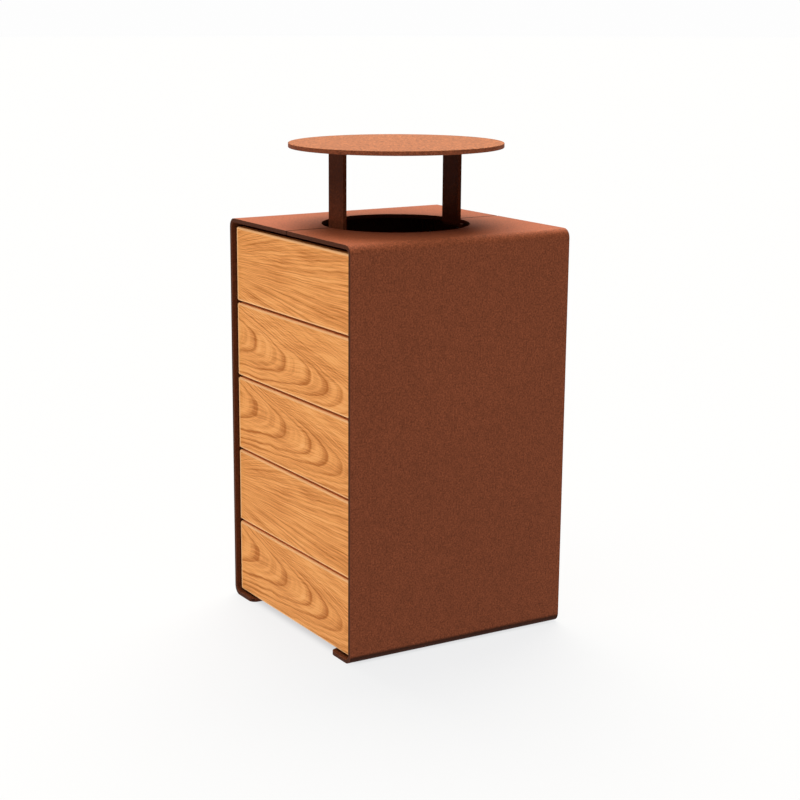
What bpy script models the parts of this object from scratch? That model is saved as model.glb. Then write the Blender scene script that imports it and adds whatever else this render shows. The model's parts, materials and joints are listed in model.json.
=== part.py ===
"""Litter bin with a rain cover, two bent steel shells, wooden faces, a lockable door and a liner.

Units are metres, +Z is up. The origin is on the ground under the middle of the bin. The fixed
wooden face looks along -Y and the door is in the opposite face.
"""

import math

import bmesh
import bpy
from mathutils import Matrix, Vector

GAP = 0.0003  # clearance between pieces that touch

# Outer shells
WIDTH = 0.500
DEPTH = 0.500
BOX_HEIGHT = 0.820
TOTAL_HEIGHT = 0.982
PLATE = 0.008
BEND = 0.018
SEAM = 0.002
FOOT_WIDTH = 0.080
FOOT_CORNER = 0.015
OPENING_RADIUS = 0.150

# Rain cover
DISC_RADIUS = 0.2165
DISC_THICKNESS = 0.009
LEG_WIDTH = 0.058
LEG_THICKNESS = 0.008
LEG_OUTER = 0.139
LEG_BEND = 0.010
LEG_FOOT_END = 0.184
LEG_HEAD_END = 0.100
LEG_BOLT = (0.016, 0.166)

# Crossbars under the top plates
CROSSBAR_LENGTH = 0.380
CROSSBAR_WIDTH = 0.022
CROSSBAR_THICKNESS = 0.006
CROSSBAR_BOLT = (0.100, 0.1965)

# Boards
BOARDS = 5
BOARD_THICKNESS = 0.020
BOARD_RECESS = 0.009
BOARD_BOTTOM = 0.0105
BOARD_TOP = 0.802
BOARD_GAP = 0.0036
BOARD_EASE = 0.004
PANEL_SIDE_GAP = 0.0025
DOOR_SIDE_GAP = 0.004

# Frames behind the boards
STILE_WIDTH = 0.040
STILE_THICKNESS = 0.004
STILE_BOTTOM = 0.019
STILE_TOP = 0.799
SCREW_HEAD_RADIUS = 0.004
SCREW_INSET = 0.030
SCREW_SPREAD = 0.040

# Door
DOOR_BAR = 0.005
DOOR_BAR_WIDTH = 0.043
DOOR_FRAME = (0.022, 0.796)
RAIL_HEIGHT = 0.040
HINGE_X = 0.214
HINGE_Y = 0.230
PIN_RADIUS = 0.004
PIN_HOLE_RADIUS = 0.00415
SHOE_WIDTH = 0.030
SHOE_THICKNESS = 0.004
SHOE_INNER = 0.2114
SHOE_REACH = 0.2365

# Lock
LOCK_X = -0.214
LOCK_BARREL_RADIUS = 0.0095
LOCK_PLUG_RADIUS = 0.0059
CAM_REACH = 0.022
CAM_WIDTH = 0.014
STOP_FACE = 0.2105
STOP_THICKNESS = 0.004
STOP_REACH = 0.2240

# Base
BASE_THICKNESS = 0.003
BASE_HALF = (0.232, 0.200)
BASE_BOLT = (0.205, 0.150)
DRAIN_HOLE = (0.090, 0.080)
GUIDE_LEG = 0.030

# Liner
LINER_HALF = (0.195, 0.175)
LINER_CORNER = 0.012
LINER_WALL = 0.002
LINER_TOP = 0.685
RIM = 0.008
RIM_THICKNESS = 0.003
BAIL_X = 0.202
BAIL_Z = 0.640
BAIL_DROP = 0.030
BAIL_HALF = 0.040
BAIL_WIRE = 0.003
LUG_Y = (0.046, 0.054)

M8_RADIUS = 0.004
M8_HOLE = 0.0045
M8_ACROSS = 0.013
M8_HEAD = 0.0055
TAPPED_DEPTH = 0.0065

HALF_W = WIDTH / 2
HALF_D = DEPTH / 2
INNER_X = HALF_W - PLATE
TOP_UNDER = BOX_HEIGHT - PLATE
BOARD_OUTER = HALF_D - BOARD_RECESS
BOARD_BACK = BOARD_OUTER - BOARD_THICKNESS
BASE_TOP = PLATE + GAP + BASE_THICKNESS
BOARD_HEIGHT = (BOARD_TOP - BOARD_BOTTOM - (BOARDS - 1) * BOARD_GAP) / BOARDS
BOARD_PITCH = BOARD_HEIGHT + BOARD_GAP
LOCK_Z = BOARD_TOP - BOARD_PITCH - BOARD_HEIGHT / 2

X, Y, Z = Vector((1, 0, 0)), Vector((0, 1, 0)), Vector((0, 0, 1))

STEEL = ((0.230, 0.060, 0.024, 1), 0.60, 0.0)
OAK = ((0.680, 0.330, 0.110, 1), 0.55, 0.0)
ZINC = ((0.560, 0.570, 0.580, 1), 0.40, 1.0)
BLACK_STEEL = ((0.020, 0.020, 0.022, 1), 0.55, 0.0)
RUBBER = ((0.015, 0.015, 0.015, 1), 0.80, 0.0)


def clear_scene():
    for obj in list(bpy.data.objects):
        bpy.data.objects.remove(obj, do_unlink=True)


def new_collection(name):
    collection = bpy.data.collections.new(name)
    bpy.context.scene.collection.children.link(collection)
    return collection


clear_scene()
PARTS = new_collection("litter_bin")
CUTTERS = new_collection("litter_bin_cutters")


# ---------------------------------------------------------------- building blocks


def facing(x_axis, y_axis, origin=(0, 0, 0)):
    """The placement whose local X and Y run along these directions."""
    z_axis = x_axis.cross(y_axis)
    turned = Matrix((x_axis, y_axis, z_axis)).transposed()
    return Matrix.Translation(origin) @ turned.to_4x4()


UPRIGHT = {1: facing(X, Z), -1: facing(-X, Z)}
ALONG_Y = facing(Z, X)  # local Z runs along +Y


def put(name, mesh, matrix=None):
    obj = bpy.data.objects.new(name, mesh)
    obj.matrix_world = matrix or Matrix()
    PARTS.objects.link(obj)
    return obj


def mesh_from(bm, name):
    bmesh.ops.recalc_face_normals(bm, faces=bm.faces)
    mesh = bpy.data.meshes.new(name)
    bm.to_mesh(mesh)
    bm.free()
    return mesh


def box(name, low, high):
    low, high = Vector(low), Vector(high)
    size = high - low
    bm = bmesh.new()
    bmesh.ops.create_cube(bm, size=1, matrix=Matrix.Diagonal((*size, 1)))
    return put(name, mesh_from(bm, name), Matrix.Translation((low + high) / 2))


def cylinder(name, base, axis, length, radius, sides=24, turn=0.0):
    """A cylinder or prism that starts at base and runs along the unit vector axis."""
    matrix = axis.to_track_quat("Z", "Y").to_matrix().to_4x4()
    shape = Matrix.Translation((0, 0, length / 2)) @ Matrix.Rotation(turn, 4, "Z")
    bm = bmesh.new()
    bmesh.ops.create_cone(
        bm, cap_ends=True, segments=sides, radius1=radius, radius2=radius, depth=length, matrix=shape
    )
    return put(name, mesh_from(bm, name), Matrix.Translation(base) @ matrix)


def curve_to_mesh(name, curve, matrix):
    """The curve's own shape as a welded mesh object in the same place."""
    guide = put(name + "_curve", curve, matrix)
    bpy.context.view_layer.update()
    evaluated = guide.evaluated_get(bpy.context.evaluated_depsgraph_get())
    mesh = bpy.data.meshes.new_from_object(evaluated)
    bpy.data.objects.remove(guide)
    bm = bmesh.new()
    bm.from_mesh(mesh)
    bmesh.ops.remove_doubles(bm, verts=bm.verts, dist=0.00001)
    bmesh.ops.recalc_face_normals(bm, faces=bm.faces)
    bm.to_mesh(mesh)
    bm.free()
    return put(name, mesh, matrix)


def flat(name, outline, thickness, matrix):
    """A plate with this closed outline, centred on the local XY plane."""
    curve = bpy.data.curves.new(name, "CURVE")
    curve.dimensions = "2D"
    curve.fill_mode = "BOTH"
    curve.extrude = thickness / 2
    spline = curve.splines.new("POLY")
    spline.points.add(len(outline) - 1)
    for point, (x, y) in zip(spline.points, outline):
        point.co = (x, y, 0, 1)
    spline.use_cyclic_u = True
    return curve_to_mesh(name, curve, matrix)


def wire(name, points, radius, matrix):
    curve = bpy.data.curves.new(name, "CURVE")
    curve.dimensions = "3D"
    curve.bevel_depth = radius
    curve.bevel_resolution = 2
    curve.use_fill_caps = True
    spline = curve.splines.new("POLY")
    spline.points.add(len(points) - 1)
    for point, (x, y) in zip(spline.points, points):
        point.co = (x, y, 0, 1)
    return curve_to_mesh(name, curve, matrix)


def turned(name, profile, matrix, closed=False, steps=32):
    """A profile of (radius, height) points swept round local Z, listed top to bottom outside."""
    bm = bmesh.new()
    verts = [bm.verts.new((radius, 0, height)) for radius, height in profile]
    for a, b in zip(verts, verts[1:]):
        bm.edges.new((a, b))
    if closed:
        bm.edges.new((verts[-1], verts[0]))
    mesh = bpy.data.meshes.new(name)
    bm.to_mesh(mesh)
    bm.free()
    obj = put(name, mesh, matrix)
    screw = obj.modifiers.new("Turn", "SCREW")
    screw.steps = screw.render_steps = steps
    screw.use_merge_vertices = True
    screw.merge_threshold = 0.00001
    return obj


def arc(centre, radius, start, end, steps):
    """Points on a circle from one angle to another, in radians."""
    for i in range(steps + 1):
        angle = start + (end - start) * i / steps
        yield Vector((centre[0] + radius * math.cos(angle), centre[1] + radius * math.sin(angle)))


def filleted(points, radii, steps):
    """The open polyline with each inner corner rounded by its own radius."""
    rounded = [points[0]]
    for before, corner, after, radius in zip(points, points[1:], points[2:], radii):
        a, b = (before - corner).normalized(), (after - corner).normalized()
        half = a.angle(b) / 2
        centre = corner + (a + b).normalized() * radius / math.sin(half)
        first = corner + a * radius / math.tan(half) - centre
        last = corner + b * radius / math.tan(half) - centre
        start = math.atan2(first.y, first.x)
        sweep = math.remainder(math.atan2(last.y, last.x) - start, math.tau)
        rounded += list(arc(centre, radius, start, start + sweep, steps))
    return rounded + [points[-1]]


def bent_plate(path, thickness, bend, steps=5):
    """The outline of a plate that lies to the right of this path, bent at each corner."""
    path = [Vector(p) for p in path]
    runs = [(b - a).normalized() for a, b in zip(path, path[1:])]
    sides = [Vector((run.y, -run.x)) for run in runs]
    inner = [path[0] + sides[0] * thickness]
    near, far = [], []
    for corner, one, two, a, b in zip(path[1:], sides, sides[1:], runs, runs[1:]):
        inner.append(corner + (one + two) / (1 + one.dot(two)) * thickness)
        right_turn = a.cross(b) < 0
        near.append(bend if right_turn else bend - thickness)
        far.append(bend - thickness if right_turn else bend)
    inner.append(path[-1] + sides[-1] * thickness)
    return filleted(path, near, steps) + filleted(inner, far, steps)[::-1]


def rounded_rectangle(half_x, half_y, radius, steps=5):
    outline = []
    for quarter, (sx, sy) in enumerate(((1, 1), (-1, 1), (-1, -1), (1, -1))):
        centre = (sx * (half_x - radius), sy * (half_y - radius))
        start = quarter * math.pi / 2
        outline += list(arc(centre, radius, start, start + math.pi / 2, steps))
    return outline


def helper(obj):
    """Moves a cutter, or a shape that is joined to another, out of the parts."""
    PARTS.objects.unlink(obj)
    CUTTERS.objects.link(obj)
    obj.hide_render = True
    obj.display_type = "WIRE"
    return obj


def boolean(obj, other, operation):
    modifier = obj.modifiers.new(other.name, "BOOLEAN")
    modifier.operation = operation
    modifier.solver = "EXACT"
    modifier.object = helper(other)


def cut(obj, other):
    boolean(obj, other, "DIFFERENCE")


def join(obj, other):
    boolean(obj, other, "UNION")


def ease(obj, width, segments=2):
    """Rounds every edge of a simple shape."""
    modifier = obj.modifiers.new("Eased edges", "BEVEL")
    modifier.width = width
    modifier.segments = segments
    modifier.limit_method = "ANGLE"


def finish(obj, look):
    """Gives the object its own material and soft shading across its round faces."""
    colour, roughness, metallic = look
    material = bpy.data.materials.new(obj.name)
    material.use_nodes = True
    shader = material.node_tree.nodes["Principled BSDF"]
    shader.inputs["Base Color"].default_value = colour
    shader.inputs["Roughness"].default_value = roughness
    shader.inputs["Metallic"].default_value = metallic
    obj.data.materials.append(material)
    obj.data.shade_smooth()
    obj.data.set_sharp_from_angle(angle=math.radians(35))
    return obj


def pivot(name, location):
    """An empty on a joint's axis, which the pieces that turn or slide there hang from."""
    empty = bpy.data.objects.new(name, None)
    empty.location = location
    empty.empty_display_size = 0.05
    PARTS.objects.link(empty)
    return empty


def hang(empty, *pieces):
    for piece in pieces:
        piece.parent = empty
        piece.matrix_parent_inverse = Matrix.Translation(empty.location).inverted()


# ---------------------------------------------------------------- shells


def foot_corner_cutter(name, side, end):
    """What a rounded corner of a foot leaves out: a square corner with a hollow quarter circle."""
    extra = 0.005
    inner = HALF_W - FOOT_WIDTH
    r = FOOT_CORNER
    outline = [Vector((inner - extra, HALF_D - r)), Vector((inner - extra, HALF_D + extra))]
    outline += [Vector((inner + r, HALF_D + extra))]
    outline += list(arc((inner + r, HALF_D - r), r, math.pi / 2, math.pi, 6))
    outline = [(side * p.x, end * p.y) for p in outline]
    return flat(name, outline, 4 * PLATE, Matrix())


def side_shell(name, side):
    """A plate bent into half of the top, one side wall and a foot that turns inwards."""
    path = ((SEAM / 2, BOX_HEIGHT), (HALF_W, BOX_HEIGHT), (HALF_W, 0), (HALF_W - FOOT_WIDTH, 0))
    shell = flat(name, bent_plate(path, PLATE, BEND), DEPTH, UPRIGHT[side])
    for x, y in (LEG_BOLT, CROSSBAR_BOLT):
        for end in (1, -1):
            base = (side * x, end * y, TOP_UNDER - 0.01)
            tapped = cylinder(f"{name}_tapped_{x}_{end}", base, Z, 0.01 + TAPPED_DEPTH, M8_HOLE, 16)
            cut(shell, tapped)
    opening = cylinder(name + "_opening", (0, 0, TOP_UNDER - 0.05), Z, 0.1, OPENING_RADIUS, 72)
    cut(shell, opening)
    for end in (1, -1):
        cut(shell, foot_corner_cutter(f"{name}_corner_{end}", side, end))
        base = (side * BASE_BOLT[0], end * BASE_BOLT[1], -PLATE)
        cut(shell, cylinder(f"{name}_bolt_hole_{end}", base, Z, 3 * PLATE, M8_HOLE, 16))
    return shell


def build_shells():
    left = side_shell("side_shell_left", -1)
    right = side_shell("side_shell_right", 1)
    base = (HINGE_X, HINGE_Y, -PLATE)
    cut(right, cylinder("hinge_pin_hole", base, Z, 3 * PLATE, M8_HOLE, 16))
    for shell in (left, right):
        finish(shell, STEEL)


# ---------------------------------------------------------------- rain cover and top fixings


def raised_bolt(name, centre, seat):
    """A bolt with its hexagon head under the seat and its shank up in a blind tapped hole."""
    base = (*centre, seat - M8_HEAD)
    bolt = cylinder(name, base, Z, M8_HEAD, M8_ACROSS / math.sqrt(3), 6)
    length = TOP_UNDER + TAPPED_DEPTH - 0.001 - base[2] - M8_HEAD / 2
    middle = (*centre, seat - M8_HEAD / 2)
    join(bolt, cylinder(name + "_shank", middle, Z, length, M8_RADIUS, 12))
    return finish(bolt, ZINC)


def cover_leg(name, end):
    """A flat bar whose foot turns out under the top plates and whose head turns in under the disc."""
    head = TOTAL_HEIGHT - DISC_THICKNESS - GAP
    foot = TOP_UNDER - GAP
    path = ((LEG_HEAD_END, head), (LEG_OUTER, head), (LEG_OUTER, foot), (LEG_FOOT_END, foot))
    outline = bent_plate(path, LEG_THICKNESS, LEG_BEND)
    leg = flat(name, outline, LEG_WIDTH, facing(end * Y, Z))
    for side in (1, -1):
        base = (side * LEG_BOLT[0], end * LEG_BOLT[1], foot - 2 * LEG_THICKNESS)
        cut(leg, cylinder(f"{name}_hole_{side}", base, Z, 3 * LEG_THICKNESS, M8_HOLE, 16))
    return finish(leg, STEEL)


def crossbar(name, end):
    half_x, half_y = CROSSBAR_LENGTH / 2, CROSSBAR_WIDTH / 2
    middle = end * CROSSBAR_BOLT[1]
    top = TOP_UNDER - GAP
    low = (-half_x, middle - half_y, top - CROSSBAR_THICKNESS)
    bar = box(name, low, (half_x, middle + half_y, top))
    for side in (1, -1):
        base = (side * CROSSBAR_BOLT[0], middle, low[2] - 0.01)
        cut(bar, cylinder(f"{name}_hole_{side}", base, Z, 0.03, M8_HOLE, 16))
    return finish(bar, STEEL)


def build_cover():
    profile = (
        (0, TOTAL_HEIGHT),
        (DISC_RADIUS - 0.0008, TOTAL_HEIGHT),
        (DISC_RADIUS, TOTAL_HEIGHT - 0.0008),
        (DISC_RADIUS, TOTAL_HEIGHT - DISC_THICKNESS + 0.0008),
        (DISC_RADIUS - 0.0008, TOTAL_HEIGHT - DISC_THICKNESS),
        (0, TOTAL_HEIGHT - DISC_THICKNESS),
    )
    finish(turned("rain_cover_disc", profile, Matrix(), steps=96), STEEL)
    under_leg = TOP_UNDER - 2 * GAP - LEG_THICKNESS
    under_bar = TOP_UNDER - 2 * GAP - CROSSBAR_THICKNESS
    for end, where in ((-1, "front"), (1, "rear")):
        cover_leg(f"cover_leg_{where}", end)
        crossbar(f"top_crossbar_{where}", end)
        for side, hand in ((-1, "left"), (1, "right")):
            leg_place = (side * LEG_BOLT[0], end * LEG_BOLT[1])
            bar_place = (side * CROSSBAR_BOLT[0], end * CROSSBAR_BOLT[1])
            raised_bolt(f"leg_bolt_{where}_{hand}", leg_place, under_leg)
            raised_bolt(f"crossbar_bolt_{where}_{hand}", bar_place, under_bar)


# ---------------------------------------------------------------- base


def base_bolt(name, x, y):
    """A bolt with a hexagon head on the base plate and its shank down in the foot."""
    seat = BASE_TOP + GAP
    bolt = cylinder(name, (x, y, seat), Z, M8_HEAD, M8_ACROSS / math.sqrt(3), 6)
    join(bolt, cylinder(name + "_shank", (x, y, 0.0015), Z, seat, M8_RADIUS, 12))
    return finish(bolt, ZINC)


def guide(name, matrix, length):
    """An angle that stands on the base plate, its upright leg beside the liner."""
    path = ((0, GUIDE_LEG), (0, 0), (GUIDE_LEG, 0))
    outline = bent_plate([(-x, y) for x, y in path], 0.003, 0.005, 3)
    return finish(flat(name, outline, length, matrix), STEEL)


def build_base():
    half_x, half_y = BASE_HALF
    plate = box("base_plate", (-half_x, -half_y, PLATE + GAP), (half_x, half_y, BASE_TOP))
    for sx in (1, -1):
        for sy in (1, -1):
            bolt = (sx * BASE_BOLT[0], sy * BASE_BOLT[1], 0)
            drain = (sx * DRAIN_HOLE[0], sy * DRAIN_HOLE[1], 0)
            cut(plate, cylinder(f"base_hole_{sx}_{sy}", bolt, Z, 0.03, M8_HOLE, 16))
            cut(plate, cylinder(f"drain_{sx}_{sy}", drain, Z, 0.03, 0.008, 16))
            where = ("rear" if sy > 0 else "front") + ("_right" if sx > 0 else "_left")
            base_bolt("base_bolt_" + where, bolt[0], bolt[1])
    finish(plate, STEEL)
    seat = BASE_TOP + GAP
    beside = LINER_HALF[0] + 0.0025
    before = LINER_HALF[1] + 0.0025
    guide("liner_guide_left", facing(X, Z, (-beside, 0, seat)), 0.240)
    guide("liner_guide_right", facing(-X, Z, (beside, 0, seat)), 0.240)
    guide("liner_stop", facing(Y, Z, (0, -before, seat)), 0.240)


# ---------------------------------------------------------------- boards and fixed face


def board(name, row, end, half_x):
    """One board of a face, counted from the top; end is -1 for the front and 1 for the rear."""
    top = BOARD_TOP - row * BOARD_PITCH
    near, far = sorted((end * BOARD_OUTER, end * BOARD_BACK))
    obj = box(name, (-half_x, near, top - BOARD_HEIGHT), (half_x, far, top))
    ease(obj, BOARD_EASE)
    return obj


def add_screw_heads(obj, x, face, direction):
    """Two low round heads for each board, joined to the bar that they hold."""
    for row in range(BOARDS):
        middle = BOARD_TOP - row * BOARD_PITCH - BOARD_HEIGHT / 2
        for k, z in enumerate((middle - SCREW_SPREAD, middle + SCREW_SPREAD)):
            base = (x, face - direction * 0.001, z)
            name = f"{obj.name}_screw_{row}_{k}"
            head = cylinder(name, base, direction * Y, 0.0035, SCREW_HEAD_RADIUS, 10)
            join(obj, head)


def front_stile(name, side):
    """An angle: one leg behind the boards, the other along the side wall."""
    outer = INNER_X - GAP
    face = BOARD_BACK - GAP
    path = ((outer - STILE_WIDTH, face), (outer, face), (outer, face - STILE_WIDTH))
    outline = [(side * x, -y) for x, y in bent_plate(path, STILE_THICKNESS, 0.006, 3)]
    middle = (STILE_BOTTOM + STILE_TOP) / 2
    stile = flat(name, outline, STILE_TOP - STILE_BOTTOM, Matrix.Translation((0, 0, middle)))
    add_screw_heads(stile, side * (outer - SCREW_INSET), -(face - STILE_THICKNESS), 1)
    return finish(stile, STEEL)


def build_front():
    for row in range(BOARDS):
        obj = board(f"front_board_{row + 1}", row, -1, INNER_X - PANEL_SIDE_GAP)
        finish(obj, OAK)
    front_stile("front_stile_left", -1)
    front_stile("front_stile_right", 1)


# ---------------------------------------------------------------- door


def pivot_shoe(name, level, foot):
    """An angle behind the door bars whose flat leg reaches over or under the pivot."""
    path = [(SHOE_INNER, foot), (SHOE_INNER, level), (SHOE_REACH, level)]
    low, high = sorted((foot, level))
    if level < foot:
        path.reverse()
    outline = bent_plate(path, SHOE_THICKNESS, 0.006, 3)
    middle = (HINGE_X, 0, 0)
    shoe = flat(name, outline, SHOE_WIDTH, facing(Y, Z, middle))
    hole = (HINGE_X, HINGE_Y, low - 0.01)
    cut(shoe, cylinder(name + "_hole", hole, Z, high - low + 0.02, PIN_HOLE_RADIUS, 32))
    for side in (1, -1):
        base = (HINGE_X + side * 0.008, SHOE_INNER + 0.001, (low + high) / 2)
        join(shoe, cylinder(f"{name}_screw_{side}", base, -Y, 0.004, SCREW_HEAD_RADIUS, 10))
    return finish(shoe, ZINC)


def hinge_pins():
    """The top pin hangs from a plate, and the bottom pin stands in the foot on a collar."""
    top = TOP_UNDER - GAP
    low = (HINGE_X - 0.018, HINGE_Y - 0.016, top - 0.004)
    upper = box("hinge_pin_top", low, (HINGE_X + 0.018, HINGE_Y + 0.016, top))
    join(upper, cylinder("hinge_pin_top_pin", (HINGE_X, HINGE_Y, 0.790), Z, top - 0.792, PIN_RADIUS, 32))
    finish(upper, ZINC)
    profile = (
        (0, 0.0280),
        (PIN_RADIUS - 0.001, 0.0280),
        (PIN_RADIUS, 0.0270),
        (PIN_RADIUS, 0.0160),
        (0.0065, 0.0160),
        (0.0065, PLATE + GAP),
        (PIN_RADIUS, PLATE + GAP),
        (PIN_RADIUS, 0.0012),
        (0, 0.0012),
    )
    lower = turned("hinge_pin_bottom", profile, Matrix.Translation((HINGE_X, HINGE_Y, 0)))
    finish(lower, ZINC)


def door_bars():
    """Two upright bars and three rails, flat behind the boards."""
    face = BOARD_BACK - GAP
    low, high = DOOR_FRAME
    outer = INNER_X - DOOR_SIDE_GAP - 0.001
    inner = outer - DOOR_BAR_WIDTH
    pieces = []
    for side, name in ((1, "door_stile_hinge"), (-1, "door_stile_lock")):
        x0, x1 = sorted((side * outer, side * inner))
        bar = box(name, (x0, face - DOOR_BAR, low), (x1, face, high))
        if side < 0:
            base = (LOCK_X, face - 0.02, LOCK_Z)
            cut(bar, cylinder("lock_hole_stile", base, Y, 0.04, LOCK_BARREL_RADIUS + 0.0005, 32))
        add_screw_heads(bar, side * (inner + 0.010), face - DOOR_BAR, -1)
        pieces.append(finish(bar, STEEL))
    middle = (low + high) / 2
    levels = (("top", high - RAIL_HEIGHT / 2), ("middle", middle), ("bottom", low + RAIL_HEIGHT / 2))
    for where, z in levels:
        reach = inner - GAP
        start = (-reach, face - DOOR_BAR, z - RAIL_HEIGHT / 2)
        rail = box("door_rail_" + where, start, (reach, face, z + RAIL_HEIGHT / 2))
        pieces.append(finish(rail, STEEL))
    return pieces


def door_boards():
    half_x = INNER_X - DOOR_SIDE_GAP
    pieces = [board(f"door_board_{row + 1}", row, 1, half_x) for row in range(BOARDS)]
    notch = SHOE_WIDTH / 2 + 0.001
    low = (HINGE_X - notch, BOARD_BACK - 0.01, BOARD_BOTTOM - 0.01)
    cut(pieces[-1], box("notch_bottom", low, (HINGE_X + notch, SHOE_REACH + 0.001, 0.030)))
    low = (HINGE_X - 0.008, BOARD_BACK - 0.01, 0.786)
    cut(pieces[0], box("notch_top", low, (HINGE_X + 0.008, HINGE_Y + 0.007, BOARD_TOP + 0.01)))
    base = (LOCK_X, BOARD_BACK - 0.01, LOCK_Z)
    hole = cylinder("lock_hole_board", base, Y, 0.05, LOCK_BARREL_RADIUS + 0.0005, 32)
    cut(pieces[1], hole)
    for piece in pieces:
        finish(piece, OAK)
    return pieces


def lock_fixed():
    """The housing is a flanged tube through the board, held by a nut behind the bar."""
    place = Matrix.Translation((LOCK_X, 0, LOCK_Z)) @ ALONG_Y
    bore = LOCK_PLUG_RADIUS + 0.0003
    outside = BOARD_OUTER + GAP
    profile = (
        (bore, outside + 0.0030),
        (0.0120, outside + 0.0030),
        (0.0140, outside + 0.0012),
        (0.0140, outside),
        (LOCK_BARREL_RADIUS, outside),
        (LOCK_BARREL_RADIUS, STOP_FACE + 0.0005),
        (bore, STOP_FACE + 0.0005),
    )
    housing = finish(turned("lock_housing", profile, place, closed=True), ZINC)
    seat = BOARD_BACK - 2 * GAP - DOOR_BAR
    base = (LOCK_X, seat - 0.0038, LOCK_Z)
    nut = cylinder("lock_nut", base, Y, 0.0038, 0.0120 / math.cos(math.pi / 6), 6)
    base = (LOCK_X, seat - 0.02, LOCK_Z)
    cut(nut, cylinder("lock_nut_bore", base, Y, 0.04, LOCK_BARREL_RADIUS + 0.0003, 32))
    return housing, finish(nut, ZINC)


def lock_moving():
    """The plug has a three-sided key recess outside and carries the cam on its inner end."""
    place = Matrix.Translation((LOCK_X, 0, LOCK_Z)) @ ALONG_Y
    front = BOARD_OUTER + 0.0022
    cam_y = STOP_FACE - STOP_THICKNESS - 0.0015
    profile = (
        (0, front),
        (LOCK_PLUG_RADIUS, front),
        (LOCK_PLUG_RADIUS, cam_y + GAP),
        (PIN_RADIUS, cam_y + GAP),
        (PIN_RADIUS, cam_y - 0.0030),
        (0, cam_y - 0.0030),
    )
    plug = turned("lock_plug", profile, place)
    base = (LOCK_X, front + 0.002, LOCK_Z)
    cut(plug, cylinder("key_recess", base, -Y, 0.010, 0.0046, 3, math.pi))
    base = (LOCK_X, cam_y - 0.01, LOCK_Z)
    cut(plug, cylinder("cam_screw_bore", base, Y, 0.018, 0.0022, 12))
    half = CAM_WIDTH / 2
    outline = list(arc((0, 0), half, 0, math.pi, 8))
    outline += list(arc((0, half - CAM_REACH), half, math.pi, math.tau, 8))
    middle = (LOCK_X, cam_y - 0.0015, LOCK_Z)
    cam = flat("lock_cam", outline, 0.003, facing(-X, Z, middle))
    cut(cam, cylinder("cam_bore", base, Y, 0.02, PIN_RADIUS + 0.0002, 24))
    seat = cam_y - 0.0030 - GAP
    screw = cylinder("lock_cam_screw", (LOCK_X, seat - 0.003, LOCK_Z), Y, 0.003, 0.0058, 6)
    join(screw, cylinder("cam_screw_shank", (LOCK_X, seat - 0.001, LOCK_Z), Y, 0.008, 0.0019, 12))
    finish(plug, ZINC)
    finish(cam, ZINC)
    return plug, cam, finish(screw, ZINC)


def door_stop():
    """A bar welded edge-on to the left wall, which the door closes against and the cam turns behind."""
    low = (-(INNER_X - GAP), STOP_FACE - STOP_THICKNESS, 0.030)
    finish(box("door_stop_bar", low, (-STOP_REACH, STOP_FACE, 0.790)), STEEL)
    thickness = BOARD_BACK - GAP - DOOR_BAR - STOP_FACE - 2 * GAP
    for where, z in (("top", 0.720), ("bottom", 0.100)):
        base = (-0.2325, STOP_FACE + GAP, z)
        finish(cylinder("door_bumper_" + where, base, Y, thickness, 0.0068, 24), RUBBER)


def build_door():
    hinge_pins()
    door_stop()
    pieces = door_boards() + door_bars()
    pieces.append(pivot_shoe("pivot_shoe_top", BOARD_TOP + GAP + SHOE_THICKNESS, 0.770))
    pieces.append(pivot_shoe("pivot_shoe_bottom", 0.0163, 0.042))
    pieces += lock_fixed()
    moving = lock_moving()
    hinge = pivot("door_axis", (HINGE_X, HINGE_Y, 0))
    hang(hinge, *pieces)
    turn = pivot("lock_axis", (LOCK_X, HINGE_Y, LOCK_Z))
    hang(hinge, turn)
    turn.location = (LOCK_X, HINGE_Y, LOCK_Z)
    hang(turn, *moving)


# ---------------------------------------------------------------- liner


def liner_parts():
    """A square bucket, a flat frame round its mouth and two lugs on each side for the handles."""
    half_x, half_y = LINER_HALF
    bottom = BASE_TOP + 2 * GAP
    top = LINER_TOP - RIM_THICKNESS - GAP
    hollow = rounded_rectangle(half_x - LINER_WALL, half_y - LINER_WALL, LINER_CORNER - LINER_WALL)
    outline = rounded_rectangle(half_x, half_y, LINER_CORNER)
    liner = flat("liner", outline, top - bottom, Matrix.Translation((0, 0, (bottom + top) / 2)))
    middle = Matrix.Translation((0, 0, bottom + LINER_WALL + LINER_TOP / 2))
    cut(liner, flat("liner_inside", hollow, LINER_TOP, middle))
    outline = rounded_rectangle(half_x + RIM, half_y + RIM, LINER_CORNER + RIM)
    middle = Matrix.Translation((0, 0, LINER_TOP - RIM_THICKNESS / 2))
    rim = flat("liner_rim", outline, RIM_THICKNESS, middle)
    cut(rim, flat("rim_inside", hollow, 3 * RIM_THICKNESS, middle))
    pieces = [finish(liner, BLACK_STEEL), finish(rim, BLACK_STEEL)]
    for side, hand in ((-1, "left"), (1, "right")):
        for end, where in ((-1, "front"), (1, "rear")):
            pieces.append(handle_lug(f"handle_lug_{hand}_{where}", side, end))
    return pieces


def handle_lug(name, side, end):
    """A small block welded to the liner, bored for one end of a handle."""
    xs = sorted((side * (LINER_HALF[0] + GAP), side * (BAIL_X + 0.008)))
    ys = sorted((end * LUG_Y[0], end * LUG_Y[1]))
    low, high = zip(xs, ys, (BAIL_Z - 0.010, BAIL_Z + 0.010))
    lug = box(name, low, high)
    ease(lug, 0.001, 1)
    base = (side * BAIL_X, end * (LUG_Y[0] - 0.003), BAIL_Z)
    cut(lug, cylinder(name + "_bore", base, end * Y, 0.014, BAIL_WIRE + 0.0004, 16))
    return finish(lug, ZINC)


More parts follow.
